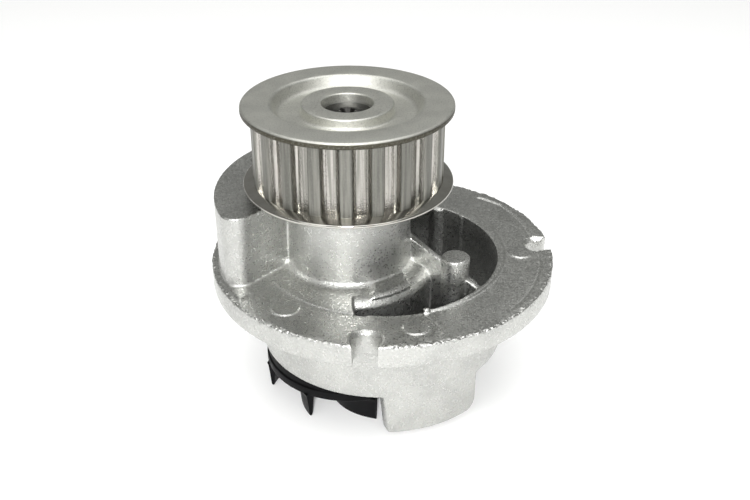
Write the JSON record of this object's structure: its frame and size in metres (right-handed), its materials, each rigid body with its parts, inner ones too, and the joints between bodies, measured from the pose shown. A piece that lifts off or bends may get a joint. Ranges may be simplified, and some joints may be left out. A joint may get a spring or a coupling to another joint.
{
  "type": "engine water pump",
  "caption": "Engine coolant pump: eccentric die-cast housing with a round flange and spigot, toothed belt pulley on a sealed shaft bearing, face seal and moulded impeller.",
  "frame": {"origin": "spigot axis, on the flange's mounting face", "axes": "+Z along the spigot axis towards the pulley; -Y is the front, seen in the reference view; the shaft axis lies 12.0 mm from the spigot axis towards 203.5 degrees from +X"},
  "size_m": [0.1126, 0.1126, 0.1004],
  "materials": {
    "cast_aluminium": "satin as-cast",
    "seal_rubber": "matte",
    "bearing_steel": "ground",
    "ball_steel": "polished",
    "cage_plastic": "moulded",
    "shaft_steel": "ground",
    "sintered_steel": "satin sintered",
    "flange_steel": "polished sheet",
    "cup_steel": "drawn sheet",
    "spring_steel": "drawn wire",
    "seal_carbon": "lapped",
    "seal_ceramic": "lapped",
    "sleeve_brass": "drawn",
    "impeller_plastic": "moulded"
  },
  "bodies": {
    "housing": {"pump_housing": "cast_aluminium", "housing_o_ring": "seal_rubber", "bearing_outer_ring": "bearing_steel", "upper_bearing_seal": "seal_rubber", "lower_bearing_seal": "seal_rubber", "seal_cup": "cup_steel", "seal_bellows": "seal_rubber", "seal_spring": "spring_steel", "seal_spring_plate": "cup_steel", "seal_carbon_ring": "seal_carbon"},
    "rotor": {"pump_shaft": "shaft_steel", "toothed_pulley": "sintered_steel", "pulley_lower_flange": "flange_steel", "slinger_ring": "seal_rubber", "seal_sleeve": "sleeve_brass", "seal_mating_ring": "seal_ceramic", "mating_ring_boot": "seal_rubber", "impeller_bush": "shaft_steel", "impeller": "impeller_plastic"},
    "upper_balls": {"upper_ball_row": "ball_steel", "upper_ball_cage": "cage_plastic"},
    "lower_balls": {"lower_ball_row": "ball_steel", "lower_ball_cage": "cage_plastic"}
  },
  "joints": [
    {"name": "shaft_spin", "type": "hinge", "parent": "housing", "child": "rotor", "pos_m": [-0.011, -0.00479, 0], "axis": [0, 0, 1], "continuous": true},
    {"name": "upper_cage_spin", "type": "hinge", "parent": "housing", "child": "upper_balls", "pos_m": [-0.011, -0.00479, 0.0365], "axis": [0, 0, 1], "continuous": true},
    {"name": "lower_cage_spin", "type": "hinge", "parent": "housing", "child": "lower_balls", "pos_m": [-0.011, -0.00479, 0.0165], "axis": [0, 0, 1], "continuous": true}
  ],
  "couplings": [
    {"joint": "upper_cage_spin", "follows": "shaft_spin", "ratio": 0.3671},
    {"joint": "lower_cage_spin", "follows": "shaft_spin", "ratio": 0.3671}
  ]
}
